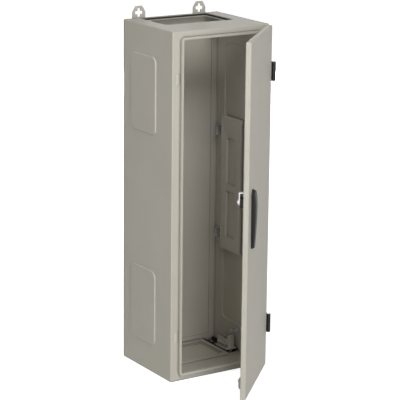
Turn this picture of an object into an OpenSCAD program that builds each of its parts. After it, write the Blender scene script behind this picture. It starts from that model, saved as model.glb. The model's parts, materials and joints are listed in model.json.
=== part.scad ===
// Wall mounted sheet steel distribution enclosure, its tray door standing open.
// Front faces -Y, Z is up, the origin lies under the middle of the body.

/* [Body] */
// Outer width of the body
body_w = 300; // [280:5:400]
// Outer height of the body
body_h = 950; // [900:10:1200]
// Depth from the front flange to the rear face
body_d = 250; // [240:5:320]
// Thickness of the folded sheet
sheet = 1.5; // [1.2:0.1:2]
// Outer radius of the folds
fold_r = 3; // [2.5:0.25:4]
// Width of the return at the open rear, in front of the rear panel
return_w = 21; // [14:1:24]

/* [Front collar] */
// Flange beside the collar, left and right
flange_side = 23.5; // [23:0.5:28]
// Flange above and below the collar
flange_end = 16; // [14:1:20]
// How far the collar stands out of the flange
collar_rise = 9; // [7:0.5:10]
// Width of the collar's rim
collar_w = 6; // [5:0.5:8]
// Outer corner radius of the collar
collar_r = 9; // [6:1:12]

/* [Pressed panels] */
// Size of a pressed panel from front to rear
panel_d = 130; // [100:5:140]
// Height of a pressed panel
panel_h = 210; // [150:5:210]
// How far a panel stands out of the wall
panel_rise = 3; // [2:0.5:5]
// Width of the sloping edge of a panel
panel_run = 2.5; // [2:0.5:6]
// Corner radius of a panel
panel_r = 18; // [8:1:22]
// Panel centre behind the middle of the body
panel_y = 20; // [10:1:25]
// Panel centre above and below mid height
panel_dz = 292; // [285:1:300]

/* [Cable entry] */
// Distance of the cable entry from the sides of the body
entry_side = 45; // [45:1:60]
// Distance of the entry from the rear face
entry_back = 6; // [6:1:25]
// Size of the sunk entry from front to rear
entry_d = 139; // [110:1:150]
// Depth of the sunk ledge
entry_depth = 6; // [4:0.5:8]
// Width of the ledge at the sides
ledge_side = 9; // [9:1:16]
// Width of the ledge at front and rear
ledge_end = 13; // [11:1:20]
// Thickness of the seal under the cover of the lower entry
seal_t = 2; // [1:0.5:2]
// Width of the rubber lip in the upper entry
lip_w = 3; // [2:0.5:4]
// Height of the rubber lip
lip_h = 4; // [2:0.5:4]
// Corner radius of the entry
entry_r = 6; // [4:1:8]

/* [Wall lugs] */
// Distance of a lug's middle from the side of the body
lug_in = 54; // [40:1:80]
// Width of a lug
lug_w = 40; // [34:1:50]
// Thickness of a lug
lug_t = 3; // [2.5:0.5:4]
// Gap that the lugs keep between body and wall
lug_gap = 12; // [8:1:15]
// Height of a lug above the body
lug_rise = 30; // [28:1:36]
// Length of the lug foot on the rear panel
lug_foot = 60; // [50:1:80]
// Length of each bar of the cross shaped hole
cross_len = 23; // [20:1:25]
// Width of each bar of the cross shaped hole
cross_w = 8.5; // [7:0.5:9]

/* [Door] */
// Gap beside the door, left and right
door_side = 2; // [1:0.5:3]
// Gap under the door
door_low = 6; // [3:1:8]
// Gap above the door
door_high = 1; // [1:1:4]
// Depth of the door tray
door_t = 14.8; // [13:0.2:16]
// Gap between door tray and front flange when shut
door_gap = 0.7; // [0.5:0.1:1.5]
// Width of the tray's inner return at the sides
door_return = 10; // [8:1:12]
// Angle at which the door stands open
door_open = 45.3; // [0:0.1:80]
// Width of the door gasket
gasket_w = 12; // [9:1:13]

/* [Hinges] */
// Hinge centre above and below mid height
hinge_dz = 350; // [330:5:370]
// Length of a hinge
hinge_h = 52; // [46:1:60]
// Radius of the knuckle
knuckle_r = 5.8; // [5:0.1:5.8]
// Radius of the hinge pin
pin_r = 2.5; // [2:0.25:3]
// Hinge axis outside the edge of the door
axis_out = 4; // [4:0.1:5]
// Hinge axis in front of the face of the door
axis_front = 4.5; // [4.5:0.1:5]
// Width of the hinge cut-out in the flange
slot_w = 10; // [8:0.5:11]
// Height of the hinge cut-out in the flange
slot_h = 24; // [20:1:28]
// Radial clearance of the pin in the moving knuckle
pin_clear = 0.08; // [0.05:0.01:0.1]
// Gap between parts that turn past each other
run_gap = 0.4; // [0.3:0.1:0.6]
// Thickness of the covers on the unused cut-outs
plug_t = 0.4; // [0.2:0.1:0.4]

/* [Handle] */
// Lock axis from the free edge of the door
lock_in = 49.5; // [48:0.5:60]
// Lock axis above mid height
lock_dz = 52; // [20:1:80]
// Length of the lever below its axis
lever_down = 120; // [90:1:130]
// Length of the lever above its axis
lever_up = 34; // [26:1:36]
// Width of the lever at the axis
lever_w = 26; // [22:1:30]
// Width of the lever at its end
lever_tip = 18; // [14:1:20]
// Height of the lever above its base plate
lever_t = 8.5; // [8:0.5:13]
// Highest point of the lever below its axis
lever_mid = 11; // [5:1:45]
// Fall of the lever from its highest point to its lower end
lever_bow = 4.4; // [3:0.2:6]
// Fall of the lever from its highest point to its upper end
lever_nose = 4.2; // [3:0.2:6]
// Thickness of the handle base plate
base_t = 3; // [2:0.5:4]
// Radius of the lock housing
housing_r = 14; // [12:0.5:15]
// Depth of the lock housing behind the door sheet
housing_d = 29; // [20:1:32]
// Side of the square spindle
spindle_s = 8; // [7:0.5:9]
// Thickness of the cam
cam_t = 3; // [2.5:0.5:4]
// Reach of the cam past the inner edge of the collar
cam_past = 5; // [4:0.5:6]

/* [Side insert] */
// Height of the moulded insert on the right wall
insert_h = 384; // [340:2:384]
// Depth of the insert from front to rear
insert_d = 96; // [80:1:110]
// Rear edge of the insert, in front of the rear face
insert_back = 41; // [41:1:60]
// How far the insert stands off the wall
insert_t = 10; // [9:0.5:14]
// Wall of the insert
insert_wall = 2.5; // [2:0.25:3]
// Height of a pocket in the insert
pocket_h = 134; // [100:2:140]
// Width of a pocket in the insert
pocket_w = 46; // [36:1:56]
// Depth of a pocket
pocket_d = 6; // [4:0.5:6]
// Gap between the two pockets
pocket_gap = 18; // [10:1:24]

/* [Inner fittings] */
// Support brackets above and below mid height
bracket_dz = 147.5; // [120:2.5:170]
// Height of a support bracket
bracket_h = 26; // [22:1:34]
// Reach of a support bracket from the side wall
bracket_w = 22; // [18:1:26]
// Radius of the hole in a support bracket
bracket_hole_r = 3.25; // [2.5:0.25:4]
// Length of the terminal rail
rail_len = 122; // [110:2:126]
// Number of terminals on the rail
terminal_count = 4; // [3:1:7]
// Pitch of the terminals
terminal_pitch = 12; // [10:0.5:13]

/* [Hidden] */
$fn = 48;
eps = 0.01;
paint = [0.80, 0.79, 0.75];
black = [0.13, 0.13, 0.13];
zinc = [0.75, 0.76, 0.77];
pale = [0.86, 0.86, 0.83];
moulded = [0.55, 0.55, 0.53];

front_y = -body_d / 2;
rear_y = body_d / 2;
// Seams between the front frame, the side walls and the end caps
seam_y = front_y + fold_r + 1;
cap_h = return_w + 2;
mid_z = body_h / 2;
inner_x = body_w / 2 - sheet;
// The collar stands around the opening, its rim in front of the flange
collar_x = body_w / 2 - flange_side;
collar_h = body_h - 2 * flange_end;
rim_y = front_y - collar_rise;
opening_x = collar_x - collar_w;
opening_low = flange_end + collar_w;

lug_pitch = body_w - 2 * lug_in;

// Closed door
door_w = body_w - 2 * door_side;
door_back_y = front_y - door_gap;
door_face_y = door_back_y - door_t;
door_skin_y = door_face_y + sheet;
door_h = body_h - door_low - door_high;
axis_x = door_w / 2 + axis_out;
axis_y = door_face_y - axis_front;
hinge_zs = [mid_z - hinge_dz, mid_z + hinge_dz];
slot_x = body_w / 2 - (flange_side + sheet) / 2 - 3;

lock_x = -door_w / 2 + lock_in;
lock_z = mid_z + lock_dz;
base_y = door_face_y - base_t;
housing_y = door_skin_y + housing_d;
cam_y = housing_y + 1;
cam_reach = lock_x + opening_x + cam_past;
cam_tip_y = front_y + sheet + 2.5;

entry_w = body_w - 2 * entry_side;
entry_rear = rear_y - entry_back;
entry_front = entry_rear - entry_d;
entry_y = (entry_rear + entry_front) / 2;
gland_ys = [entry_rear - ledge_end / 2, entry_front + ledge_end / 2];
gland_xs = [30 - entry_w / 2, 0, entry_w / 2 - 30];
insert_y = rear_y - insert_back - insert_d / 2;
rail_w = 35;
rail_t = 7.5;
rail_x = inner_x - 5.5 - rail_w / 2;
rail_top = sheet + rail_t;
rail_y0 = rear_y - 2 * sheet - 4 - rail_len;
terminal_len = terminal_count * terminal_pitch;
terminal_h = 28;
terminal_y0 = rail_y0 + 9;
bracket_y = rear_y - 2 * sheet - 30;
stud_y = 2;
stud_z = 64;
wedge_w = 16;
wedge_x = -opening_x + 10;
wedge_z = opening_low + 0.7;
gland_t = 2;
gland_screw_r = 2.5;

// Rectangle with true round corners
module rounded(w, h, r) {
  square([w - 2 * r, h], center = true);
  square([w, h - 2 * r], center = true);
  for (x = [-1, 1])
    for (y = [-1, 1])
      translate([x * (w / 2 - r), y * (h / 2 - r)])
        circle(r);
}

// Frame of even width, measured outside
module frame(w, h, r, t) {
  difference() {
    rounded(w, h, r);
    rounded(w - 2 * t, h - 2 * t, max(r - t, 0.4));
  }
}

// Outline drawn in X and Z, made a plate from y0 to y0 + t
module plate_y(y0, t) {
  translate([0, y0 + t, 0])
    rotate([90, 0, 0])
      linear_extrude(t)
        children();
}

// Outline drawn in Y and Z, made a slab from x0 to x0 + t
module slab_x(x0, t) {
  translate([x0, 0, 0])
    rotate([90, 0, 90])
      linear_extrude(t)
        children();
}

// Cylinder along Y from y0 to y0 + len
module rod_y(x, z, y0, len, r) {
  translate([x, y0, z])
    rotate([-90, 0, 0])
      cylinder(r = r, h = len);
}

// Cylinder along X from x0 to x0 + len
module rod_x(y, z, x0, len, r) {
  translate([x0, y, z])
    rotate([0, 90, 0])
      cylinder(r = r, h = len);
}

// Box with all its folds rounded, standing at z0 with its front at y0
module folded_box(w, d, h, r, y0, z0) {
  intersection() {
    translate([0, y0 + d / 2, z0])
      linear_extrude(h)
        rounded(w, d, r);
    translate([0, 0, z0 + h / 2])
      plate_y(y0, d)
        rounded(w, h, r);
    translate([0, y0 + d / 2, z0 + h / 2])
      slab_x(-w / 2, w)
        rounded(d, h, r);
  }
}

// Field with sloping edges and round corners, drawn in Y and Z, narrower at x = rise
module tapered(w, h, r, run, rise, back) {
  half_w = w / 2;
  half_h = h / 2;
  rotate([90, 0, 0])
    linear_extrude(w - 2 * r, center = true)
      polygon([
        [-back, -half_h], [0, -half_h], [rise, -half_h + run],
        [rise, half_h - run], [0, half_h], [-back, half_h]
      ]);
  linear_extrude(h - 2 * r, center = true)
    polygon([
      [-back, -half_w], [0, -half_w], [rise, -half_w + run],
      [rise, half_w - run], [0, half_w], [-back, half_w]
    ]);
  for (y = [-1, 1], z = [-1, 1])
    translate([0, y * (half_w - r), z * (half_h - r)])
      rotate([0, 90, 0]) {
        cylinder(r1 = r, r2 = r - run, h = rise);
        translate([0, 0, -back])
          cylinder(r = r, h = back);
      }
}

// Pressed panel on the right wall
module pressed_panel(z) {
  translate([body_w / 2, panel_y, z])
    tapered(panel_d, panel_h, panel_r, panel_run, panel_rise, 4 * sheet);
}

module entry_outline(inset_x, inset_y) {
  translate([0, entry_y])
    rounded(entry_w - 2 * inset_x, entry_d - 2 * inset_y, entry_r);
}

module entry_well() {
  linear_extrude(entry_depth + sheet)
    entry_outline(-sheet, -sheet);
}

module entry_cut() {
  translate([0, 0, -1])
    linear_extrude(1 + entry_depth)
      entry_outline(0, 0);
  translate([0, entry_y, 0])
    linear_extrude(2 * (entry_depth + sheet), center = true)
      square([entry_w - 2 * ledge_side, entry_d - 2 * ledge_end], center = true);
}

module collar() {
  inner_r = collar_r - collar_w + 2 * sheet;
  inner_h = collar_h - 2 * (collar_w - sheet);
  translate([0, 0, mid_z]) {
    plate_y(rim_y, collar_rise + sheet)
      frame(2 * collar_x, collar_h, collar_r, sheet);
    plate_y(rim_y, sheet)
      frame(2 * collar_x, collar_h, collar_r, collar_w);
    plate_y(rim_y, collar_rise + 2)
      frame(2 * (opening_x + sheet), inner_h, inner_r, sheet);
  }
}

// Box between two corners
module block(low, high) {
  translate(low)
    cube(high - low);
}

// Folded box, open at the front and, inside its return, at the rear
module folded_shell() {
  difference() {
    folded_box(body_w, body_d - sheet, body_h, fold_r, front_y, 0);
    folded_box(body_w - 2 * sheet, body_d - 3 * sheet, body_h - 2 * sheet, fold_r - sheet,
               front_y + sheet, sheet);
    translate([0, 0, mid_z]) {
      plate_y(front_y - 1, sheet + 2)
        rounded(2 * (collar_x - sheet), collar_h - 2 * sheet, collar_r - sheet);
      plate_y(rear_y - 2 * sheet - 1, sheet + 2)
        square([body_w - 2 * return_w, body_h - 2 * return_w], center = true);
    }
  }
}

// Flange with the front folds and the collar around the opening
module front_frame() {
  color(paint)
    difference() {
      union() {
        intersection() {
          folded_shell();
          block([-body_w, front_y - 1, -1], [body_w, seam_y, body_h + 1]);
        }
        collar();
      }
      hinge_slots();
    }
}

// Side wall with its rear return, the sheet follows the pressed panels
module side_wall(s) {
  color(paint)
    mirror([s < 0 ? 1 : 0, 0, 0])
      difference() {
        union() {
          intersection() {
            folded_shell();
            block([0, seam_y, cap_h], [body_w, rear_y, body_h - cap_h]);
          }
          for (k = [-1, 1])
            pressed_panel(mid_z + k * panel_dz);
        }
        translate([-sheet, 0, 0])
          for (k = [-1, 1])
            pressed_panel(mid_z + k * panel_dz);
      }
}

module side_wall_left() { side_wall(-1); }

module side_wall_right() { side_wall(1); }

// Lower end of the body with the sunk entry, the upper end is its mirror image
module end_cap() {
  difference() {
    union() {
      intersection() {
        folded_shell();
        block([-body_w, seam_y, -1], [body_w, rear_y, cap_h]);
      }
      entry_well();
    }
    entry_cut();
  }
}

module top_panel() {
  color(paint)
    translate([0, 0, body_h])
      mirror([0, 0, 1])
        end_cap();
}

module bottom_panel() {
  color(paint)
    difference() {
      end_cap();
      gland_holes(gland_screw_r);
    }
}

// Cut-outs for the hinge arms, on both flanges so that the door can change sides
module hinge_slots() {
  for (s = [-1, 1])
    for (z = hinge_zs)
      translate([s * slot_x, 0, z])
        plate_y(front_y - 1, sheet + 2)
          square([slot_w, slot_h], center = true);
}

module rear_panel() {
  color(paint)
    difference() {
      translate([0, 0, mid_z])
        plate_y(rear_y - sheet, sheet)
          rounded(body_w, body_h, fold_r);
      for (p = lug_screw_places())
        rod_y(p[0], p[1], rear_y - sheet - 1, sheet + 2, 3.05);
    }
}

function lug_screw_places() = [
  for (s = [-1, 1]) for (k = [0.25, 0.68]) [s * lug_pitch / 2, lug_foot_z() + k * lug_foot]
];
function lug_foot_z() = body_h - 12 - lug_foot;

// Cranked wall lug with a cross shaped hole
module wall_lug(s) {
  top_z = body_h + lug_rise;
  knee_z = body_h - 12;
  far_y = rear_y + lug_gap;
  cross_z = body_h + 12;
  color(paint)
    difference() {
      intersection() {
        slab_x(s * lug_pitch / 2 - lug_w / 2, lug_w)
          polygon([
            [rear_y, lug_foot_z()], [rear_y + lug_t, lug_foot_z()], [rear_y + lug_t, knee_z - lug_t],
            [far_y + lug_t, knee_z - lug_t], [far_y + lug_t, top_z], [far_y, top_z],
            [far_y, knee_z], [rear_y, knee_z]
          ]);
        translate([s * lug_pitch / 2, 0, 0])
          plate_y(rear_y - 1, lug_gap + lug_t + 2)
            polygon([
              [-lug_w / 2, lug_foot_z()], [lug_w / 2, lug_foot_z()], [lug_w / 2, top_z - 16],
              [lug_w / 4, top_z], [-lug_w / 4, top_z], [-lug_w / 2, top_z - 16]
            ]);
      }
      translate([s * lug_pitch / 2, 0, cross_z])
        plate_y(far_y - 1, lug_t + 2) {
          square([cross_len, cross_w], center = true);
          square([cross_w, cross_len], center = true);
        }
      for (p = lug_screw_places())
        rod_y(p[0], p[1], rear_y - 1, lug_t + 2, 3.05);
    }
}

module wall_lug_left() { wall_lug(-1); }

module wall_lug_right() { wall_lug(1); }

// Low round screws, threaded into the rear panel
module lug_screws() {
  color(zinc)
    for (p = lug_screw_places()) {
      rod_y(p[0], p[1], rear_y - sheet, lug_t + sheet, 3);
      difference() {
        rod_y(p[0], p[1], rear_y + lug_t, 3, 5.5);
        translate([p[0], 0, p[1]])
          plate_y(rear_y + lug_t + 1.2, 3)
            circle(2.5, $fn = 6);
      }
    }
}

// Rubber lip on the ledge, set against the walls of the entry and butted at the corners
module entry_seal() {
  color(black)
    translate([0, 0, body_h - entry_depth])
      linear_extrude(lip_h)
        intersection() {
          entry_outline(0.2, 0.2);
          for (s = [-1, 1])
            translate([0, entry_y]) {
              translate([0, s * (entry_d - lip_w) / 2])
                square([entry_w, lip_w], center = true);
              translate([s * (entry_w - lip_w) / 2, 0])
                square([lip_w, entry_d - 2 * lip_w - 0.2], center = true);
            }
        }
}

// The lower entry is closed by a plate, its middle pressed flush with the underside
module gland_plate() {
  rim_z = entry_depth - seal_t - gland_t;
  color(paint)
    difference() {
      union() {
        translate([0, 0, rim_z])
          linear_extrude(gland_t)
            entry_outline(0.6, 0.6);
        linear_extrude(rim_z + gland_t)
          entry_outline(ledge_side + 4, ledge_end + 4);
      }
      translate([0, 0, gland_t])
        linear_extrude(entry_depth)
          entry_outline(ledge_side + 4 + gland_t, ledge_end + 4 + gland_t);
      gland_holes(gland_screw_r);
    }
}

module gland_seal() {
  color(pale)
    difference() {
      translate([0, 0, entry_depth - seal_t])
        linear_extrude(seal_t)
          difference() {
            entry_outline(0.6, 0.6);
            entry_outline(ledge_side - 2, ledge_end - 2);
          }
      gland_holes(gland_screw_r);
    }
}

module gland_holes(r) {
  for (x = gland_xs)
    for (y = gland_ys)
      translate([x, y, -1])
        cylinder(r = r, h = entry_depth + sheet + 4);
}

module gland_screws() {
  head_z = entry_depth - seal_t - gland_t;
  color(zinc)
    for (x = gland_xs)
      for (y = gland_ys)
        translate([x, y, 0]) {
          translate([0, 0, head_z])
            cylinder(r = gland_screw_r, h = entry_depth + sheet + 1.5 - head_z);
          difference() {
            translate([0, 0, head_z - 1.8])
              cylinder(r = 4.2, h = 1.8);
            translate([0, 0, head_z - 2.8])
              cylinder(r = 2, h = 2, $fn = 6);
          }
        }
}

// Moulded insert with sloping ends and two pockets, hollow towards the wall
module insert_form(inset) {
  low = -insert_h / 2 + inset;
  slope = 4;
  high = insert_t - inset;
  translate([inner_x, insert_y, mid_z])
    rotate([90, 0, 0])
      linear_extrude(insert_d - 2 * inset, center = true)
        polygon([
          [0, low], [-high, low + slope], [-high, -low - slope], [0, -low]
        ]);
}

// Pockets with sloping walls
module insert_pockets(grow, depth) {
  for (k = [-1, 1])
    translate([inner_x - insert_t, insert_y - 3, mid_z - 9 + k * (pocket_h + pocket_gap) / 2])
      tapered(pocket_w + 2 * grow, pocket_h + 2 * grow, 7 + grow, depth * 0.4, depth, eps);
}

module side_insert() {
  color(moulded)
    difference() {
      union() {
        difference() {
          insert_form(0);
          translate([eps, 0, 0])
            insert_form(insert_wall);
        }
        translate([eps, 0, 0])
          insert_pockets(insert_wall, pocket_d + insert_wall);
      }
      insert_pockets(0, pocket_d);
    }
}

// Folded support bracket welded into the rear corner, with a hole for the device frame
module bracket(s, k) {
  z = mid_z + k * bracket_dz;
  color(zinc)
    mirror([s < 0 ? 1 : 0, 0, 0])
      difference() {
        union() {
          translate([inner_x - 2, bracket_y, z - bracket_h / 2])
            cube([2, 30 - fold_r, bracket_h]);
          translate([inner_x - bracket_w, bracket_y, z - bracket_h / 2])
            cube([bracket_w, 2, bracket_h]);
          translate([inner_x - 2, bracket_y + 2, z])
            rotate([0, 0, 180])
              translate([0, 0, -1])
                linear_extrude(2)
                  polygon([[0, 0], [bracket_w - 4, 0], [0, -22]]);
        }
        rod_y(inner_x - bracket_w / 2 - 1, z - bracket_h / 4 + 0.5, bracket_y - 1, 4, bracket_hole_r);
      }
}

module bracket_left_upper() { bracket(-1, 1); }

module bracket_left_lower() { bracket(-1, -1); }

module bracket_right_upper() { bracket(1, 1); }

module bracket_right_lower() { bracket(1, -1); }

// Earth stud on the right wall, with washer and nut
module earth_stud() {
  color(zinc) {
    rod_x(stud_y, stud_z, inner_x - 24, 24, 4);
    rod_x(stud_y, stud_z, inner_x - 2, 2, 8);
  }
}

module earth_washer() {
  color(zinc)
    difference() {
      rod_x(stud_y, stud_z, inner_x - 3.6, 1.6, 8);
      rod_x(stud_y, stud_z, inner_x - 4, 3, 4.2);
    }
}

module earth_nut() {
  color(zinc)
    difference() {
      translate([inner_x - 10.1, stud_y, stud_z])
        rotate([0, 90, 0])
          cylinder(r = 7.5, h = 6.5, $fn = 6);
      rod_x(stud_y, stud_z, inner_x - 12, 10, 4.05);
    }
}

// Top hat rail on the floor, running from front to rear, with long slots
module terminal_rail() {
  t = 1;
  color(zinc)
    difference() {
      translate([rail_x, rail_y0 + rail_len, sheet])
        rotate([90, 0, 0])
          linear_extrude(rail_len)
            polygon([
              [-13.5, 0], [13.5, 0], [13.5, rail_t - t], [rail_w / 2, rail_t - t], [rail_w / 2, rail_t],
              [12.5, rail_t], [12.5, t], [-12.5, t], [-12.5, rail_t], [-rail_w / 2, rail_t],
              [-rail_w / 2, rail_t - t], [-13.5, rail_t - t]
            ]);
      for (y = [rail_y0 + 6, rail_y0 + rail_len - 18])
        translate([rail_x, y, 0])
          cylinder(r = 2.6, h = 6);
      for (k = [0:3])
        translate([rail_x, terminal_y0 + 14 + 20 * k, sheet])
          cube([6, 14, 4], center = true);
    }
}

module rail_screws() {
  color(zinc)
    for (y = [rail_y0 + 6, rail_y0 + rail_len - 18])
      translate([rail_x, y, sheet]) {
        cylinder(r = 2.5, h = 1);
        difference() {
          translate([0, 0, 1])
            cylinder(r = 4.5, h = 2.4);
          translate([0, 0, 2.2])
            cube([1, 10, 3], center = true);
        }
      }
}

// Row of terminals clipped on the rail: stepped housing, wire mouths and screw wells
module terminal_block() {
  color(moulded)
    difference() {
      translate([rail_x, terminal_y0 + terminal_len, rail_top])
        rotate([90, 0, 0])
          linear_extrude(terminal_len)
            polygon([
              [-16.5, 0], [16.5, 0], [16.5, 3], [11, 4], [11, 14], [9, 16], [9, terminal_h],
              [2, terminal_h], [2, 19], [-2, 19], [-2, terminal_h], [-9, terminal_h],
              [-9, 16], [-11, 14], [-11, 4], [-16.5, 3]
            ]);
      for (k = [0:terminal_count - 1], s = [-1, 1]) {
        translate([rail_x + s * 5.5, terminal_y0 + (k + 0.5) * terminal_pitch, rail_top + 18])
          cylinder(r = 2.6, h = 20);
        rod_x(terminal_y0 + (k + 0.5) * terminal_pitch, rail_top + 9, rail_x + s * 9 - 4, 8, 2.6);
      }
      for (k = [1:terminal_count - 1])
        translate([rail_x - 20, terminal_y0 + k * terminal_pitch - 0.4, rail_top + 10])
          cube([40, 0.8, 30]);
    }
}

module terminal_screws() {
  color(zinc)
    for (k = [0:terminal_count - 1], s = [-1, 1])
      translate([rail_x + s * 5.5, terminal_y0 + (k + 0.5) * terminal_pitch, rail_top + 18])
        difference() {
          cylinder(r = 2.4, h = 8);
          translate([0, 0, 8])
            cube([0.9, 10, 2.4], center = true);
        }
}

module terminal_end_stop() {
  color(pale)
    translate([rail_x, terminal_y0 - 0.2, rail_top])
      rotate([90, 0, 0])
        linear_extrude(8)
          polygon([
            [-16.5, 0], [16.5, 0], [16.5, 4], [9, 7], [9, 34], [6, 40], [-6, 40], [-9, 34],
            [-9, 7], [-16.5, 4]
          ]);
}

// Snap-in covers of the unused hinge cut-outs on the left flange
module hinge_plugs() {
  color(paint)
    for (z = hinge_zs)
      translate([-slot_x, 0, z]) {
        plate_y(front_y - plug_t, plug_t)
          rounded(slot_w + 4, slot_h + 4, 1.5);
        plate_y(front_y - eps, sheet + 3)
          square([slot_w - 0.6, slot_h - 0.6], center = true);
      }
}

// Knuckle of the hinge from z0 to z1
module knuckle(z0, z1) {
  translate([axis_x, axis_y, z0])
    cylinder(r = knuckle_r, h = z1 - z0);
}

module pin_bore(z, r) {
  translate([axis_x, axis_y, z - hinge_h])
    cylinder(r = r, h = 2 * hinge_h);
}

// Fixed arm: foot in the flange cut-out, cranked around the door edge, two knuckles
module hinge_arm(z) {
  arm_y = front_y - 4.5;
  rise_x = body_w / 2;
  color(black)
    difference() {
      union() {
        translate([slot_x, 0, z]) {
          plate_y(front_y - eps, sheet + 3)
            square([slot_w - 0.4, slot_h - 0.4], center = true);
          plate_y(arm_y, 4.5)
            rounded(slot_w + 5, slot_h + 5, 2);
        }
        translate([slot_x, arm_y, z - hinge_h / 2])
          cube([rise_x + 3 - slot_x, 3, hinge_h]);
        for (k = [0, 1])
          translate([0, 0, z - hinge_h / 2 + k * (hinge_h * 3 / 4)]) {
            translate([rise_x, axis_y, 0])
              cube([3, arm_y + 3 - axis_y, hinge_h / 4]);
            knuckle(0, hinge_h / 4);
          }
      }
      pin_bore(z, pin_r);
    }
}

module hinge_arm_upper() { hinge_arm(hinge_zs[1]); }

module hinge_arm_lower() { hinge_arm(hinge_zs[0]); }

module hinge_pin(z) {
  color(zinc)
    translate([axis_x, axis_y, z - hinge_h / 2])
      cylinder(r = pin_r, h = hinge_h);
}

module hinge_pin_upper() { hinge_pin(hinge_zs[1]); }

module hinge_pin_lower() { hinge_pin(hinge_zs[0]); }

// Everything on the door is drawn with the door shut, then swung open
module swung() {
  translate([axis_x, axis_y, 0])
    rotate([0, 0, door_open])
      translate([-axis_x, -axis_y, 0])
        children();
}

module door_panel() {
  // The returns above and below end just short of the collar
  tray_w = door_w - 2 * (door_return + sheet);
  tray_h = collar_h + 4 * run_gap;
  color(paint)
    swung()
      difference() {
        folded_box(door_w, door_t, door_h, fold_r, door_face_y, door_low);
        folded_box(door_w - 2 * sheet, door_t - 2 * sheet, door_h - 2 * sheet, fold_r - sheet,
                   door_skin_y, door_low + sheet);
        translate([0, 0, mid_z])
          plate_y(door_back_y - sheet - 1, sheet + 2)
            square([tray_w, tray_h], center = true);
        // Notches in the folded edge for the hinges
        for (z = hinge_zs)
          translate([slot_x - slot_w, door_skin_y, z - hinge_h / 2 - 2])
            cube([body_w, door_t + 2, hinge_h + 4]);
        rod_y(lock_x, lock_z, door_face_y - 1, sheet + 2, spindle_s);
        for (k = [-1, 1])
          rod_y(lock_x, lock_z + k * (housing_r + 9), door_face_y - 1, sheet + 2, 2.05);
      }
}

// Foam gasket that meets the rim of the collar
module door_gasket() {
  color(black)
    swung()
      translate([0, 0, mid_z])
        plate_y(door_skin_y, rim_y - run_gap - door_skin_y)
          frame(2 * collar_x + gasket_w - collar_w, collar_h + gasket_w - collar_w,
                collar_r + (gasket_w - collar_w) / 2, gasket_w);
}

// Moving leaf: one knuckle, a web past the door edge, a plate on the inside of the skin
module hinge_leaf(z) {
  half = hinge_h / 4 - run_gap;
  plate_x = collar_x + (gasket_w - collar_w) / 2 + 1;
  color(black)
    swung()
      difference() {
        union() {
          knuckle(z - half, z + half);
          translate([door_w / 2 + 0.3, axis_y, z - half])
            cube([4.2, door_skin_y + 3 - axis_y, 2 * half]);
          translate([plate_x, door_skin_y, z - half])
            cube([door_w / 2 + 1 - plate_x, 3, 2 * half]);
        }
        pin_bore(z, pin_r + pin_clear);
        rod_y(leaf_nut_x(), z, door_skin_y - 1, 6, 2.1);
      }
}

function leaf_nut_x() = collar_x + (gasket_w - collar_w) / 2 + 8;

module hinge_leaf_upper() { hinge_leaf(hinge_zs[1]); }

module hinge_leaf_lower() { hinge_leaf(hinge_zs[0]); }

// Nuts on studs that are welded to the inside of the skin
module leaf_nuts() {
  color(zinc)
    swung()
      for (z = hinge_zs) {
        rod_y(leaf_nut_x(), z, door_skin_y, 6.5, 2);
        translate([leaf_nut_x(), door_skin_y + 3, z])
          rotate([-90, 0, 0])
            cylinder(r = 4, h = 2.6, $fn = 6);
      }
}

// Outline of the handle, drawn from its axis: wide at the top, narrow at the end
module handle_outline(grow) {
  hull() {
    translate([0, lever_up - lever_w / 2])
      circle(lever_w / 2 + grow);
    translate([0, lever_tip / 2 - lever_down])
      circle(lever_tip / 2 + grow);
  }
}

module handle_base() {
  color(black)
    swung()
      difference() {
        translate([lock_x, 0, lock_z])
          plate_y(base_y, base_t)
            handle_outline(2);
        rod_y(lock_x, lock_z, base_y - 1, base_t + 2, spindle_s + 0.5);
      }
}

// Arched lever: side profile crossed with the handle outline
module lever() {
  y0 = base_y - run_gap;
  color(black)
    swung()
      translate([lock_x, 0, lock_z])
        difference() {
          intersection() {
            plate_y(y0 - lever_t - 1, lever_t + 1)
              handle_outline(0);
            slab_x(-lever_w, 2 * lever_w)
              lever_profile(y0);
          }
          // Hollow on the underside
          translate([0, y0 - lever_t * 0.45, 0])
            plate_y(0, lever_t)
              handle_hollow();
        }
}

module handle_hollow() {
  translate([0, -lever_down / 2 - 8])
    rounded(lever_tip - 7, lever_down - 40, (lever_tip - 7) / 2 - 0.1);
}

// Side view of the lever: two flat arcs that meet at its highest point
module lever_profile(y0) {
  low_len = lever_down - lever_mid;
  high_len = lever_up + lever_mid;
  translate([y0 - lever_t, -lever_mid]) {
    lever_arc(low_len, lever_bow, -low_len);
    lever_arc(high_len, lever_nose, 0);
  }
}

module lever_arc(len, fall, low) {
  arc_r = (len * len + fall * fall) / (2 * fall);
  intersection() {
    translate([0, low])
      square([lever_t, len]);
    translate([arc_r, 0])
      circle(arc_r, $fn = 900);
  }
}

// Lock housing behind the door sheet, round with a squared top
module lock_housing() {
  color(black)
    swung()
      difference() {
        union() {
          rod_y(lock_x, lock_z, door_skin_y, housing_d, housing_r);
          translate([lock_x, 0, lock_z])
            plate_y(door_skin_y, 5)
              rounded(2 * housing_r - 4, 2 * housing_r + 30, 5);
        }
        rod_y(lock_x, lock_z, door_skin_y - 1, housing_d + 2, spindle_s * 0.75 + 0.4);
        for (k = [-1, 1])
          rod_y(lock_x, lock_z + k * (housing_r + 9), door_skin_y - 1, 8, 2.05);
      }
}

module housing_screws() {
  color(zinc)
    swung()
      for (k = [-1, 1]) {
        rod_y(lock_x, lock_z + k * (housing_r + 9), door_face_y, sheet + 5, 2);
        difference() {
          rod_y(lock_x, lock_z + k * (housing_r + 9), door_skin_y + 5, 2.4, 3.6);
          translate([lock_x, 0, lock_z + k * (housing_r + 9)])
            plate_y(door_skin_y + 6.2, 3)
              square([1, 9], center = true);
        }
      }
}

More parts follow.
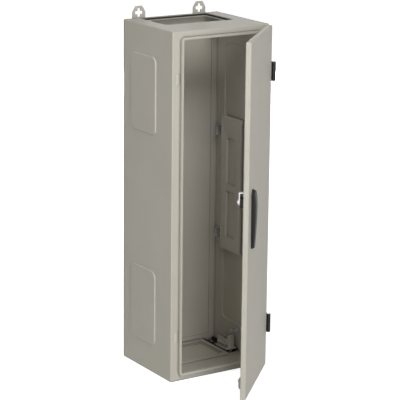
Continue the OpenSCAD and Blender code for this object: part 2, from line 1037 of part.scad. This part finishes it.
// Run-up wedge that carries the free corner of the door on the collar
module door_wedge() {
  color(moulded)
    swung()
      difference() {
        slab_x(wedge_x, wedge_w)
          polygon([
            [door_skin_y, wedge_z + 5], [rim_y + 1, wedge_z + 5], [rim_y + 1, wedge_z],
            [rim_y + 17, wedge_z], [rim_y + 20, wedge_z + 5],
            [rim_y + 20, wedge_z + 20], [rim_y + 22, wedge_z + 23], [rim_y + 20, wedge_z + 27],
            [rim_y + 14, wedge_z + 30], [rim_y + 1, wedge_z + 34], [door_skin_y, wedge_z + 36]
          ]);
        rod_y(wedge_x + wedge_w / 2, wedge_z + 12, door_skin_y - 1, 40, 2.1);
        rod_y(wedge_x + wedge_w / 2, wedge_z + 12, door_skin_y + 8, 40, 4.4);
      }
}

module wedge_screw() {
  color(zinc)
    swung() {
      rod_y(wedge_x + wedge_w / 2, wedge_z + 12, door_skin_y, 8, 2);
      rod_y(wedge_x + wedge_w / 2, wedge_z + 12, door_skin_y + 8, 2.6, 4);
    }
}

// Square spindle with a round collar in the housing
module spindle() {
  color(zinc)
    swung()
      translate([lock_x, 0, lock_z]) {
        plate_y(base_y - run_gap, cam_y + cam_t - base_y + run_gap)
          square(spindle_s, center = true);
        rod_y(0, 0, door_face_y, housing_y - door_face_y, spindle_s * 0.75);
      }
}

// Cranked cam: a disc on the spindle and an arm that bends forward behind the collar
module lock_cam() {
  color(zinc)
    swung()
      translate([lock_x, 0, lock_z])
        difference() {
          union() {
            rod_y(0, 0, cam_y, cam_t, 9);
            plate_y(cam_y, cam_t)
              translate([-6, 0])
                square([12, cam_reach]);
            translate([-6, cam_tip_y, cam_reach - cam_t])
              cube([12, cam_y + cam_t - cam_tip_y, cam_t]);
          }
          plate_y(cam_y - 1, cam_t + 2)
            square(spindle_s, center = true);
        }
}

module cam_screw() {
  color(zinc)
    swung()
      difference() {
        rod_y(lock_x, lock_z, cam_y + cam_t, 3, 6.5);
        translate([lock_x, 0, lock_z])
          plate_y(cam_y + cam_t + 1.4, 3)
            circle(2.6, $fn = 6);
      }
}

front_frame();
side_wall_left();
side_wall_right();
top_panel();
bottom_panel();
rear_panel();
wall_lug_left();
wall_lug_right();
lug_screws();
entry_seal();
gland_plate();
gland_seal();
gland_screws();
side_insert();
bracket_left_upper();
bracket_left_lower();
bracket_right_upper();
bracket_right_lower();
earth_stud();
earth_washer();
earth_nut();
terminal_rail();
rail_screws();
terminal_block();
terminal_screws();
terminal_end_stop();
hinge_plugs();
hinge_arm_upper();
hinge_arm_lower();
hinge_pin_upper();
hinge_pin_lower();
door_panel();
door_gasket();
hinge_leaf_upper();
hinge_leaf_lower();
leaf_nuts();
handle_base();
lock_housing();
housing_screws();
door_wedge();
wedge_screw();
lever();
spindle();
lock_cam();
cam_screw();
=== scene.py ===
import json
import math
import bpy
from mathutils import Matrix, Vector


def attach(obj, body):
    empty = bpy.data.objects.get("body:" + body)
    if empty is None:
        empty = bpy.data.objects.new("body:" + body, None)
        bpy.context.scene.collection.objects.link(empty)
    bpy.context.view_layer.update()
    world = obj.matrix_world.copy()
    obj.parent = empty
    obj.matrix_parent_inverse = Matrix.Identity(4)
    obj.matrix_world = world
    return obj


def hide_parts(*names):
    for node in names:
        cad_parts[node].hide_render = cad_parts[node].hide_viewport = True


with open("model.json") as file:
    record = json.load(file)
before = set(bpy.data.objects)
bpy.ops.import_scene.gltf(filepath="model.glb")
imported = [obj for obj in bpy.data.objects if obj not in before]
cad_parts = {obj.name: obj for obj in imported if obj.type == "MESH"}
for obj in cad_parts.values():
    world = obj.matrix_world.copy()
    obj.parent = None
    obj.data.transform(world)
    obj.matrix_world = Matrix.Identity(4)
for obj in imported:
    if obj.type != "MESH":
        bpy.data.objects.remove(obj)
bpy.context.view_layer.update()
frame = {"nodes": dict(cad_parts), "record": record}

nodes = frame["nodes"]
print("frame loaded,", len(nodes), "nodes")


# sRGB hex to the linear values that the shaders take
def hexColour(text):
    channels = [int(text[i:i + 2], 16) / 255 for i in (1, 3, 5)]
    linear = [c / 12.92 if c <= 0.04045 else ((c + 0.055) / 1.055) ** 2.4 for c in channels]
    return (*linear, 1)


# noise scale for a grain of so many millimetres, the scene is in metres
def grain(mm):
    return 1000 / mm


# adds one node with its properties, socket values and links
def addNode(tree, kind, props={}, values={}, links={}):
    node = tree.nodes.new(kind)
    for name, value in props.items():
        setattr(node, name, value)
    for name, value in values.items():
        node.inputs[name].default_value = value
    for name, socket in links.items():
        tree.links.new(socket, node.inputs[name])
    return node


# a material with its shader and output in place, and the coordinates that its patterns read
def newMaterial(name, values):
    mat = bpy.data.materials.new(name)
    mat.use_nodes = True
    tree = mat.node_tree
    tree.nodes.clear()
    shader = addNode(tree, "ShaderNodeBsdfPrincipled", {}, values)
    addNode(tree, "ShaderNodeOutputMaterial", {}, {}, {"Surface": shader.outputs[0]})
    where = addNode(tree, "ShaderNodeTexCoord").outputs["Object"]
    return mat, tree, shader, where


# rays per sample for the painted shade in folds and for rounded edges
rays = {"folds": 8, "edges": 6}


# painted shade: darkens a colour by ambient occlusion where the surface meets another one within so many
# millimetres
def paintedFoldShade(tree, colour, shadeColour, mm, near, alone=False):
    shut = addNode(tree, "ShaderNodeAmbientOcclusion", {"samples": rays["folds"], "only_local": alone},
                   {"Distance": mm / 1000})
    bare = addNode(tree, "ShaderNodeMapRange", {}, {"From Min": near[0], "From Max": near[1]},
                   {"Value": shut.outputs["AO"]})
    # sockets 6 and 7 are the two colours, output 2 is their mix
    both = addNode(tree, "ShaderNodeMix", {"data_type": "RGBA"}, {6: hexColour(shadeColour)},
                   {0: bare.outputs["Result"], 7: colour})
    return both.outputs[2]


# 1 for rays that see a thing straight, in a mirror or through glass, and 0 for the light that it sheds
def seenDirectly(tree):
    path = addNode(tree, "ShaderNodeLightPath")
    seen = addNode(tree, "ShaderNodeMath", {"operation": "MAXIMUM"}, {},
                   {0: path.outputs["Is Camera Ray"], 1: path.outputs["Is Glossy Ray"]})
    seen = addNode(tree, "ShaderNodeMath", {"operation": "MAXIMUM"}, {},
                   {0: seen.outputs[0], 1: path.outputs["Is Transmission Ray"]})
    return seen.outputs[0]


# polyester powder coat on steel: even light grey, soft wide sheen, faint orange peel, painted shade in the
# folds
coat = {"dark": "#bdb9ae", "light": "#c1bdb3", "span": (0.3, 0.7), "cloudMm": 120,
        "peelMm": 3.5,  # really about 1 mm, drawn coarser so that it shows
        "peelBump": 0.35, "peelDepth": 0.00004, "rough": (0.44, 0.54),
        "creaseShade": "#5f5b54", "creaseShadeMm": 11, "near": (0.35, 0.78), "edgeMm": 1.2}
powderCoat, tree, shader, where = newMaterial("powderCoatSteel", {"IOR": 1.5, "Specular IOR Level": 0.12})
cloud = addNode(tree, "ShaderNodeTexNoise", {}, {"Scale": grain(coat["cloudMm"]), "Detail": 3},
                {"Vector": where})
tint = addNode(tree, "ShaderNodeValToRGB", {}, {}, {"Fac": cloud.outputs["Fac"]})
tint.color_ramp.elements[0].position = coat["span"][0]
tint.color_ramp.elements[0].color = hexColour(coat["dark"])
tint.color_ramp.elements[1].position = coat["span"][1]
tint.color_ramp.elements[1].color = hexColour(coat["light"])
peel = addNode(tree, "ShaderNodeTexNoise", {}, {"Scale": grain(coat["peelMm"]), "Detail": 2},
               {"Vector": where})
gloss = addNode(tree, "ShaderNodeMapRange", {}, {"To Min": coat["rough"][0], "To Max": coat["rough"][1]},
                {"Value": peel.outputs["Fac"]})
# rounded in the shading, so that the folds catch the light
edge = addNode(tree, "ShaderNodeBevel", {"samples": rays["edges"]}, {"Radius": coat["edgeMm"] / 1000})
bump = addNode(tree, "ShaderNodeBump", {}, {"Strength": coat["peelBump"], "Distance": coat["peelDepth"]},
               {"Height": peel.outputs["Fac"], "Normal": edge.outputs["Normal"]})
# painted shade: the base colour turns to the crease colour near other surfaces
tree.links.new(paintedFoldShade(tree, tint.outputs["Color"], coat["creaseShade"], coat["creaseShadeMm"], coat["near"]),
               shader.inputs["Base Color"])
tree.links.new(gloss.outputs["Result"], shader.inputs["Roughness"])
tree.links.new(bump.outputs["Normal"], shader.inputs["Normal"])

# bright zinc on steel: bluish grey metal with cloudy patches and fine rolling lines, painted shade where it
# turns in closely on itself
zinc = {"dark": "#b4b6b7", "light": "#dbdcdc", "span": (0.32, 0.68), "patchMm": 7,
        "lineMm": 1.2, "waveFactor": 20,  # the wave node multiplies its scale by this itself
        "lineBump": 0.15, "lineDepth": 0.00004, "rough": (0.34, 0.5),
        "slot": "#2b2b2a", "slotShadeMm": 7, "near": (0.3, 0.75)}
zincPlate, tree, shader, where = newMaterial("zincPlatedSteel", {"Metallic": 0.9})
patch = addNode(tree, "ShaderNodeTexNoise", {}, {"Scale": grain(zinc["patchMm"]), "Detail": 4},
                {"Vector": where})
tint = addNode(tree, "ShaderNodeValToRGB", {}, {}, {"Fac": patch.outputs["Fac"]})
tint.color_ramp.elements[0].position = zinc["span"][0]
tint.color_ramp.elements[0].color = hexColour(zinc["dark"])
tint.color_ramp.elements[1].position = zinc["span"][1]
tint.color_ramp.elements[1].color = hexColour(zinc["light"])
lines = addNode(tree, "ShaderNodeTexWave", {"wave_type": "BANDS", "bands_direction": "Z"},
                {"Scale": grain(zinc["lineMm"]) / zinc["waveFactor"], "Distortion": 3, "Detail": 3},
                {"Vector": where})
gloss = addNode(tree, "ShaderNodeMapRange", {}, {"To Min": zinc["rough"][0], "To Max": zinc["rough"][1]},
                {"Value": patch.outputs["Fac"]})
bump = addNode(tree, "ShaderNodeBump", {}, {"Strength": zinc["lineBump"], "Distance": zinc["lineDepth"]},
               {"Height": lines.outputs["Fac"]})
# painted shade: the slot colour darkens the zinc close to its own surfaces
tree.links.new(paintedFoldShade(tree, tint.outputs["Color"], zinc["slot"], zinc["slotShadeMm"], zinc["near"], True),
               shader.inputs["Base Color"])
tree.links.new(gloss.outputs["Result"], shader.inputs["Roughness"])
tree.links.new(bump.outputs["Normal"], shader.inputs["Normal"])

# black passivated zinc on steel: dark, slightly bluish, silky; on the terminal rail its black is partly
# painted shade for the rail's shaded channel
black = {"dark": "#1d1d1e", "light": "#343535", "span": (0.32, 0.68), "patchMm": 9, "rough": (0.36, 0.5)}
blackZincAndShade, tree, shader, where = newMaterial("blackZincSteelAndShade", {"Metallic": 0.7})
patch = addNode(tree, "ShaderNodeTexNoise", {}, {"Scale": grain(black["patchMm"]), "Detail": 3},
                {"Vector": where})
tint = addNode(tree, "ShaderNodeValToRGB", {}, {}, {"Fac": patch.outputs["Fac"]})
tint.color_ramp.elements[0].position = black["span"][0]
tint.color_ramp.elements[0].color = hexColour(black["dark"])
tint.color_ramp.elements[1].position = black["span"][1]
tint.color_ramp.elements[1].color = hexColour(black["light"])
gloss = addNode(tree, "ShaderNodeMapRange", {}, {"To Min": black["rough"][0], "To Max": black["rough"][1]},
                {"Value": patch.outputs["Fac"]})
tree.links.new(tint.outputs["Color"], shader.inputs["Base Color"])
tree.links.new(gloss.outputs["Result"], shader.inputs["Roughness"])

# black coated zinc die casting: deep grey, pebbly, a dull sheen on its edges
cast = {"dark": "#121211", "light": "#1f1e1c", "pebbleMm": 2.2, "pebbleBump": 0.3, "pebbleDepth": 0.00008,
        "rough": (0.40, 0.58)}
blackCast, tree, shader, where = newMaterial("blackCoatedCasting", {"IOR": 1.5, "Specular IOR Level": 0.3})
pebble = addNode(tree, "ShaderNodeTexVoronoi", {}, {"Scale": grain(cast["pebbleMm"])}, {"Vector": where})
tint = addNode(tree, "ShaderNodeValToRGB", {}, {}, {"Fac": pebble.outputs["Distance"]})
tint.color_ramp.elements[0].color = hexColour(cast["light"])
tint.color_ramp.elements[1].color = hexColour(cast["dark"])
gloss = addNode(tree, "ShaderNodeMapRange", {}, {"To Min": cast["rough"][0], "To Max": cast["rough"][1]},
                {"Value": pebble.outputs["Distance"]})
bump = addNode(tree, "ShaderNodeBump", {"invert": True},
               {"Strength": cast["pebbleBump"], "Distance": cast["pebbleDepth"]},
               {"Height": pebble.outputs["Distance"]})
tree.links.new(tint.outputs["Color"], shader.inputs["Base Color"])
tree.links.new(gloss.outputs["Result"], shader.inputs["Roughness"])
tree.links.new(bump.outputs["Normal"], shader.inputs["Normal"])

# glass filled nylon, moulded: warm black, satin, fine spark texture
nylon = {"dark": "#191816", "light": "#282623", "span": (0.35, 0.7), "sparkMm": 1.6, "sparkBump": 0.3,
         "sparkDepth": 0.00006, "rough": (0.46, 0.6)}
blackNylon, tree, shader, where = newMaterial("glassFilledNylon", {"IOR": 1.53, "Specular IOR Level": 0.3})
spark = addNode(tree, "ShaderNodeTexNoise", {}, {"Scale": grain(nylon["sparkMm"]), "Detail": 3},
                {"Vector": where})
tint = addNode(tree, "ShaderNodeValToRGB", {}, {}, {"Fac": spark.outputs["Fac"]})
tint.color_ramp.elements[0].position = nylon["span"][0]
tint.color_ramp.elements[0].color = hexColour(nylon["dark"])
tint.color_ramp.elements[1].position = nylon["span"][1]
tint.color_ramp.elements[1].color = hexColour(nylon["light"])
gloss = addNode(tree, "ShaderNodeMapRange", {}, {"To Min": nylon["rough"][0], "To Max": nylon["rough"][1]},
                {"Value": spark.outputs["Fac"]})
bump = addNode(tree, "ShaderNodeBump", {}, {"Strength": nylon["sparkBump"], "Distance": nylon["sparkDepth"]},
               {"Height": spark.outputs["Fac"]})
tree.links.new(tint.outputs["Color"], shader.inputs["Base Color"])
tree.links.new(gloss.outputs["Result"], shader.inputs["Roughness"])
tree.links.new(bump.outputs["Normal"], shader.inputs["Normal"])

# grey ABS, moulded: flat mid grey with slow flow marks
moulding = {"dark": "#a9a7a0", "light": "#b5b3ac", "flowMm": 40, "flowBend": 0.6, "skinMm": 1.8,
            "skinBump": 0.2, "skinDepth": 0.00004, "rough": (0.42, 0.55)}
greyAbs, tree, shader, where = newMaterial("greyAbs", {"IOR": 1.53})
flow = addNode(tree, "ShaderNodeTexNoise", {},
               {"Scale": grain(moulding["flowMm"]), "Detail": 2, "Distortion": moulding["flowBend"]},
               {"Vector": where})
tint = addNode(tree, "ShaderNodeValToRGB", {}, {}, {"Fac": flow.outputs["Fac"]})
tint.color_ramp.elements[0].color = hexColour(moulding["dark"])
tint.color_ramp.elements[1].color = hexColour(moulding["light"])
skin = addNode(tree, "ShaderNodeTexNoise", {}, {"Scale": grain(moulding["skinMm"])}, {"Vector": where})
gloss = addNode(tree, "ShaderNodeMapRange", {},
                {"To Min": moulding["rough"][0], "To Max": moulding["rough"][1]},
                {"Value": skin.outputs["Fac"]})
bump = addNode(tree, "ShaderNodeBump", {},
               {"Strength": moulding["skinBump"], "Distance": moulding["skinDepth"]},
               {"Height": skin.outputs["Fac"]})
tree.links.new(tint.outputs["Color"], shader.inputs["Base Color"])
tree.links.new(gloss.outputs["Result"], shader.inputs["Roughness"])
tree.links.new(bump.outputs["Normal"], shader.inputs["Normal"])

# pale polyamide clips, covers and insert: off white, slightly glossy, with painted shade where pockets turn
# in
clip = {"dark": "#c3bfb5", "light": "#ccc8be", "flowMm": 12, "rough": (0.34, 0.46),
        "creaseShade": "#35332f", "creaseShadeMm": 9, "near": (0.4, 0.92), "edgeMm": 1}
palePolyamide, tree, shader, where = newMaterial("palePolyamide", {"IOR": 1.53})
flow = addNode(tree, "ShaderNodeTexNoise", {}, {"Scale": grain(clip["flowMm"]), "Detail": 2},
               {"Vector": where})
tint = addNode(tree, "ShaderNodeValToRGB", {}, {}, {"Fac": flow.outputs["Fac"]})
tint.color_ramp.elements[0].color = hexColour(clip["dark"])
tint.color_ramp.elements[1].color = hexColour(clip["light"])
gloss = addNode(tree, "ShaderNodeMapRange", {}, {"To Min": clip["rough"][0], "To Max": clip["rough"][1]},
                {"Value": flow.outputs["Fac"]})
# painted shade: darker where the pockets turn in and the insert meets the wall
tree.links.new(paintedFoldShade(tree, tint.outputs["Color"], clip["creaseShade"], clip["creaseShadeMm"], clip["near"]),
               shader.inputs["Base Color"])
edge = addNode(tree, "ShaderNodeBevel", {"samples": rays["edges"]}, {"Radius": clip["edgeMm"] / 1000})
tree.links.new(edge.outputs["Normal"], shader.inputs["Normal"])
tree.links.new(gloss.outputs["Result"], shader.inputs["Roughness"])

# closed cell foam: matt and pitted, pale under the gland plate, black on the door and the top entry
foam = {"pale": ("#bdbab1", "#d9d6cd"), "black": ("#151515", "#262625"), "lightFrom": 0.6, "cellMm": 1.5,
        "cellBump": 0.6, "cellDepth": 0.0002}
foams = {}
for shade in ("pale", "black"):
    foams[shade], tree, shader, where = newMaterial(shade + "CellFoam", {"IOR": 1.45, "Roughness": 0.85})
    cells = addNode(tree, "ShaderNodeTexVoronoi", {}, {"Scale": grain(foam["cellMm"])}, {"Vector": where})
    tint = addNode(tree, "ShaderNodeValToRGB", {}, {}, {"Fac": cells.outputs["Distance"]})
    tint.color_ramp.elements[0].color = hexColour(foam[shade][0])
    tint.color_ramp.elements[1].position = foam["lightFrom"]
    tint.color_ramp.elements[1].color = hexColour(foam[shade][1])
    bump = addNode(tree, "ShaderNodeBump", {}, {"Strength": foam["cellBump"], "Distance": foam["cellDepth"]},
                   {"Height": cells.outputs["Distance"]})
    tree.links.new(tint.outputs["Color"], shader.inputs["Base Color"])
    tree.links.new(bump.outputs["Normal"], shader.inputs["Normal"])

# what each material slot of the record is made of
finishes = {"paint": powderCoat, "zinc_steel": zincPlate, "black_cast": blackCast,
            "black_plastic": blackNylon, "grey_plastic": greyAbs, "pale_plastic": palePolyamide,
            "pale_foam": foams["pale"], "black_foam": foams["black"]}
# painted shade: the rail is black partly to stand in for the shade in its channel
special = {"terminal_rail": blackZincAndShade}  # the rail is dark in the photo
for part in frame["record"]["subparts"]:
    mesh = nodes[part["node"]].data
    mesh.materials.clear()
    mesh.materials.append(special.get(part["node"], finishes[part["material_slot"]]))
print("materials on", len(nodes), "nodes")

hinge = frame["record"]["behaviour"]["joints"][0]
pivot = Matrix.Translation(Vector(hinge["pos_m"]))
opened = Matrix.Rotation(math.radians(-hinge["range_deg"][0]), 4, "Z")
swing = pivot @ opened @ pivot.inverted()  # from shut to the photo's position


# puts what is selected in its place and leaves the object itself at the origin
def settle(piece, place):
    piece.matrix_world = place
    bpy.ops.object.transform_apply(location=True, rotation=True, scale=True)


# gives a piece its body, its finish and the node that it stands for
def fit(piece, name, body, slot, *replaced):
    piece.name = name
    piece.data.name = name
    piece.data.materials.clear()
    piece.data.materials.append(finishes[slot])
    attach(piece, body)
    if replaced:
        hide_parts(*replaced)


# selects the faces of a piece that look one way and leaves it in edit mode
def pickFaces(piece, towards):
    bpy.ops.object.mode_set(mode="EDIT")
    bpy.ops.mesh.select_all(action="DESELECT")
    bpy.ops.object.mode_set(mode="OBJECT")
    for face in piece.data.polygons:
        face.select = face.normal.dot(Vector(towards)) > 0.9
    bpy.ops.object.mode_set(mode="EDIT")
    bpy.ops.mesh.select_mode(type="FACE")


# moulded and cast pieces: a merged copy of the solid with its sharp edges rounded, radii in millimetres
soft = {"lever": ("handle", 1.6), "handle_base": ("door", 0.9), "door_wedge": ("door", 0.8),
        "terminal_end_stop": ("body", 0.8), "side_insert": ("body", 1.6),
        "hinge_arm_upper": ("body", 0.6), "hinge_arm_lower": ("body", 0.6),
        "hinge_leaf_upper": ("door", 0.5), "hinge_leaf_lower": ("door", 0.5)}
softening = {"merge": 0.00002, "flatDeg": 1, "segments": 3, "sharpDeg": 35, "smoothDeg": 40}
slots = {part["node"]: part["material_slot"] for part in frame["record"]["subparts"]}
for node, (body, roundMm) in soft.items():
    bpy.ops.object.select_all(action="DESELECT")
    piece = bpy.data.objects.new(node + "Soft", nodes[node].data.copy())
    bpy.context.scene.collection.objects.link(piece)
    bpy.context.view_layer.objects.active = piece
    piece.select_set(True)
    bpy.ops.object.mode_set(mode="EDIT")
    bpy.ops.mesh.select_all(action="SELECT")
    bpy.ops.mesh.remove_doubles(threshold=softening["merge"])
    bpy.ops.mesh.dissolve_limited(angle_limit=math.radians(softening["flatDeg"]))
    bpy.ops.object.mode_set(mode="OBJECT")
    rounding = piece.modifiers.new("rounding", "BEVEL")
    rounding.width = roundMm / 1000
    rounding.segments = softening["segments"]
    rounding.limit_method = "ANGLE"
    rounding.angle_limit = math.radians(softening["sharpDeg"])
    bpy.ops.object.modifier_apply(modifier="rounding")
    bpy.ops.object.shade_smooth_by_angle(angle=math.radians(softening["smoothDeg"]))
    fit(piece, node + "Soft", body, slots[node], node)
print("edges rounded on", len(soft), "pieces")

# foamed gasket: a domed bead all round the inside of the door
bead = {"wide": 0.259, "high": 0.924, "corner": 0.016, "cornerSteps": 8, "band": 0.0118, "rise": 0.0046,
        "dome": 0.0042, "domeSteps": 5, "smoothDeg": 50, "place": (0, -0.139, 0.475)}
bpy.ops.object.select_all(action="DESELECT")
bpy.ops.mesh.primitive_plane_add(size=1)
gasket = bpy.context.object
bpy.ops.object.mode_set(mode="EDIT")
bpy.ops.transform.resize(value=(bead["wide"], bead["high"], 1))
bpy.ops.mesh.bevel(offset=bead["corner"], segments=bead["cornerSteps"], affect="VERTICES")
bpy.ops.mesh.select_all(action="SELECT")
bpy.ops.mesh.inset(thickness=bead["band"], use_even_offset=True)
bpy.ops.mesh.delete(type="FACE")  # the inset leaves the middle selected
bpy.ops.mesh.select_all(action="SELECT")
bpy.ops.mesh.extrude_region_move(TRANSFORM_OT_translate={"value": (0, 0, bead["rise"])})
bpy.ops.mesh.region_to_loop()
bpy.ops.mesh.bevel(offset=bead["dome"], segments=bead["domeSteps"], affect="EDGES")
bpy.ops.mesh.select_mode(type="EDGE")
bpy.ops.mesh.select_all(action="DESELECT")
bpy.ops.mesh.select_non_manifold()
bpy.ops.mesh.bridge_edge_loops()
bpy.ops.mesh.select_all(action="SELECT")
bpy.ops.mesh.normals_make_consistent(inside=False)
bpy.ops.object.mode_set(mode="OBJECT")
bpy.ops.object.shade_smooth_by_angle(angle=math.radians(bead["smoothDeg"]))
upright = Matrix.Rotation(math.radians(-90), 4, "X")
settle(gasket, swing @ Matrix.Translation(Vector(bead["place"])) @ upright)
fit(gasket, "gasketBead", "door", "black_foam", "door_gasket")
print("gasket bead laid,", len(gasket.data.polygons), "faces")

# earth stud: threaded rod on a welded foot, tip towards the middle of the cabinet
stud = {"tip": (0.1245, 0.002, 0.064), "core": 0.0034, "sides": 32, "shank": 0.022, "foot": 0.008,
        "footT": 0.002, "crest": 0.00395, "ridge": 0.0005, "pitch": 0.00125, "turns": 17, "turnSteps": 20,
        "start": 0.0007, "smoothDeg": 35}
bpy.ops.object.select_all(action="DESELECT")
bpy.ops.mesh.primitive_cylinder_add(vertices=stud["sides"], radius=stud["core"], depth=stud["shank"],
                                    location=(0, 0, stud["shank"] / 2))
rod = bpy.context.object
bpy.ops.object.transform_apply(location=True, rotation=True, scale=True)
pickFaces(rod, (0, 0, 1))
bpy.ops.mesh.extrude_region_move(TRANSFORM_OT_translate={"value": (0, 0, 0)})
spread = stud["foot"] / stud["core"]
bpy.ops.transform.resize(value=(spread, spread, 1))
bpy.ops.mesh.extrude_region_move(TRANSFORM_OT_translate={"value": (0, 0, stud["footT"])})
bpy.ops.object.mode_set(mode="OBJECT")
bpy.ops.object.select_all(action="DESELECT")
bpy.ops.mesh.primitive_circle_add(vertices=3, radius=stud["ridge"],
                                  location=(stud["crest"] - stud["ridge"], 0, stud["start"]),
                                  rotation=(math.pi / 2, math.pi / 2, 0))
thread = bpy.context.object
bpy.ops.object.transform_apply(location=True, rotation=True, scale=True)
turnsOn = thread.modifiers.new("turns", "SCREW")
turnsOn.axis = "Z"
turnsOn.screw_offset = stud["pitch"]
turnsOn.iterations = stud["turns"]
turnsOn.steps = stud["turnSteps"]
turnsOn.render_steps = stud["turnSteps"]
bpy.ops.object.modifier_apply(modifier="turns")
bpy.ops.object.mode_set(mode="EDIT")
bpy.ops.mesh.select_all(action="SELECT")
bpy.ops.mesh.fill_holes(sides=3)
bpy.ops.mesh.select_all(action="SELECT")
bpy.ops.mesh.normals_make_consistent(inside=False)
bpy.ops.object.mode_set(mode="OBJECT")
bpy.ops.object.select_all(action="DESELECT")
rod.select_set(True)
bpy.context.view_layer.objects.active = rod
weld = rod.modifiers.new("weld", "BOOLEAN")
weld.operation = "UNION"
weld.solver = "EXACT"
weld.object = thread
bpy.ops.object.modifier_apply(modifier="weld")
bpy.data.objects.remove(thread)
bpy.ops.object.shade_smooth_by_angle(angle=math.radians(stud["smoothDeg"]))
settle(rod, Matrix.Translation(Vector(stud["tip"])) @ Matrix.Rotation(math.radians(90), 4, "Y"))
fit(rod, "earthStudThreaded", "body", "zinc_steel", "earth_stud")
print("earth stud threaded,", len(rod.data.polygons), "faces")

# wire clamps: a zinc cage around each wire mouth of the terminals, on both sides
clamp = {"size": 0.0076, "wall": 0.0012, "stand": 0.0008, "sink": 0.003, "deep": 0.0036, "edge": 0.0003,
         "edgeSteps": 2, "count": 4, "pitch": 0.012, "rail": 0.1255, "side": 0.011, "first": 0.011,
         "height": 0.018}
bpy.ops.object.select_all(action="DESELECT")
bpy.ops.mesh.primitive_cube_add(size=1)
cage = bpy.context.object
bpy.ops.object.mode_set(mode="EDIT")
bpy.ops.transform.resize(value=(clamp["deep"], clamp["size"], clamp["size"]))
pickFaces(cage, (-1, 0, 0))
bpy.ops.mesh.inset(thickness=clamp["wall"])
bpy.ops.mesh.extrude_region_move(TRANSFORM_OT_translate={"value": (clamp["sink"], 0, 0)})
bpy.ops.object.mode_set(mode="OBJECT")
edges = cage.modifiers.new("edges", "BEVEL")
edges.width = clamp["edge"]
edges.segments = clamp["edgeSteps"]
bpy.ops.object.modifier_apply(modifier="edges")
row = cage.modifiers.new("row", "ARRAY")
row.count = clamp["count"]
row.use_relative_offset = False
row.use_constant_offset = True
row.constant_offset_displace = (0, clamp["pitch"], 0)
bpy.ops.object.modifier_apply(modifier="row")
front = clamp["side"] + clamp["stand"]
settle(cage, Matrix.Translation((clamp["deep"] / 2 - front, clamp["first"], clamp["height"])))
cage.modifiers.new("pair", "MIRROR")
bpy.ops.object.modifier_apply(modifier="pair")
settle(cage, Matrix.Translation((clamp["rail"], 0, 0)))
fit(cage, "wireClamps", "body", "zinc_steel")
print("wire clamps set,", len(cage.data.polygons), "faces")

# studio: pale floor, soft lamps, white behind
studio = {"floor": "#d9d9d6", "floorSize": 40, "floorDrop": 0.0005, "glow": (0.84, 1), "reach": (0.7, 3),
          "world": 0.03, "aim": (0, 0, 0.45),
          "lamps": [("front", (-0.9, -4.0, 1.3), 2.4, 72), ("frontLeft", (-3.6, -1.8, 0.9), 1.2, 20),
                    ("upperLeft", (-3.2, -0.8, 3.0), 1.4, 18), ("aboveFront", (-0.8, -2.7, 3.5), 1.6, 72),
                    ("overhead", (-0.2, 0.4, 3.6), 1.6, 4), ("rearRight", (2.4, 3.8, 0.7), 1.2, 55)]}
for name, place, side, watts in studio["lamps"]:
    lamp = bpy.data.lights.new(name, "AREA")
    lamp.shape = "SQUARE"
    lamp.size = side
    lamp.energy = watts
    holder = bpy.data.objects.new(name, lamp)
    bpy.context.scene.collection.objects.link(holder)
    holder.location = place
    ahead = Vector(studio["aim"]) - Vector(place)
    holder.rotation_euler = ahead.to_track_quat("-Z", "Y").to_euler()

# matt floor paper that glows to the camera, whiter with the distance
paper = {"Base Color": hexColour(studio["floor"]), "Roughness": 0.9}
floorPaint, tree, shader, where = newMaterial("studioFloor", paper)
away = addNode(tree, "ShaderNodeVectorMath", {"operation": "LENGTH"}, {}, {0: where})
level = addNode(tree, "ShaderNodeMapRange", {},
                {"From Min": studio["reach"][0], "From Max": studio["reach"][1],
                 "To Min": studio["glow"][0], "To Max": studio["glow"][1]}, {"Value": away.outputs["Value"]})
glow = addNode(tree, "ShaderNodeMath", {"operation": "MULTIPLY"}, {},
               {0: seenDirectly(tree), 1: level.outputs["Result"]})
white = addNode(tree, "ShaderNodeEmission", {}, {"Color": (1, 1, 1, 1)}, {"Strength": glow.outputs[0]})
both = addNode(tree, "ShaderNodeAddShader", {}, {}, {0: shader.outputs[0], 1: white.outputs[0]})
output = [n for n in tree.nodes if n.type == "OUTPUT_MATERIAL"][0]
tree.links.new(both.outputs[0], output.inputs["Surface"])
bpy.ops.object.select_all(action="DESELECT")
bpy.ops.mesh.primitive_plane_add(size=studio["floorSize"], location=(0, 0, -studio["floorDrop"]))
floor = bpy.context.object
floor.name = "studioFloor"
floor.data.materials.append(floorPaint)

world = bpy.data.worlds.new("studio")
bpy.context.scene.world = world
world.use_nodes = True
tree = world.node_tree
tree.nodes.clear()
level = addNode(tree, "ShaderNodeMapRange", {}, {"To Min": studio["world"], "To Max": 1},
                {"Value": seenDirectly(tree)})
sky = addNode(tree, "ShaderNodeBackground", {}, {"Color": (1, 1, 1, 1)},
              {"Strength": level.outputs["Result"]})
addNode(tree, "ShaderNodeOutputWorld", {}, {}, {"Surface": sky.outputs[0]})
print("studio lit by", len(studio["lamps"]), "lamps")

# camera as the photograph was taken: from the left, a little above
view = {"azimuth": -32.52, "elevation": 14.445, "roll": 0.609, "lens": 160.884, "sensor": 36, "far": 100,
        "place": (-2.522, -3.9832, 1.6744)}
az, el, roll = (math.radians(view[k]) for k in ("azimuth", "elevation", "roll"))
back = Vector((math.sin(az) * math.cos(el), -math.cos(az) * math.cos(el), math.sin(el)))
side = (-back).cross(Vector((0, 0, 1))).normalized()
up = side.cross(-back)
turned = (math.cos(roll) * side + math.sin(roll) * up,
          math.cos(roll) * up - math.sin(roll) * side, back)
lensData = bpy.data.cameras.new("photoCamera")
lensData.lens = view["lens"]
lensData.sensor_width = view["sensor"]
lensData.clip_end = view["far"]
camera = bpy.data.objects.new("photoCamera", lensData)
bpy.context.scene.collection.objects.link(camera)
camera.matrix_world = Matrix.Translation(Vector(view["place"])) @ Matrix(turned).transposed().to_4x4()
bpy.context.scene.camera = camera
bpy.context.scene.view_settings.view_transform = "Standard"
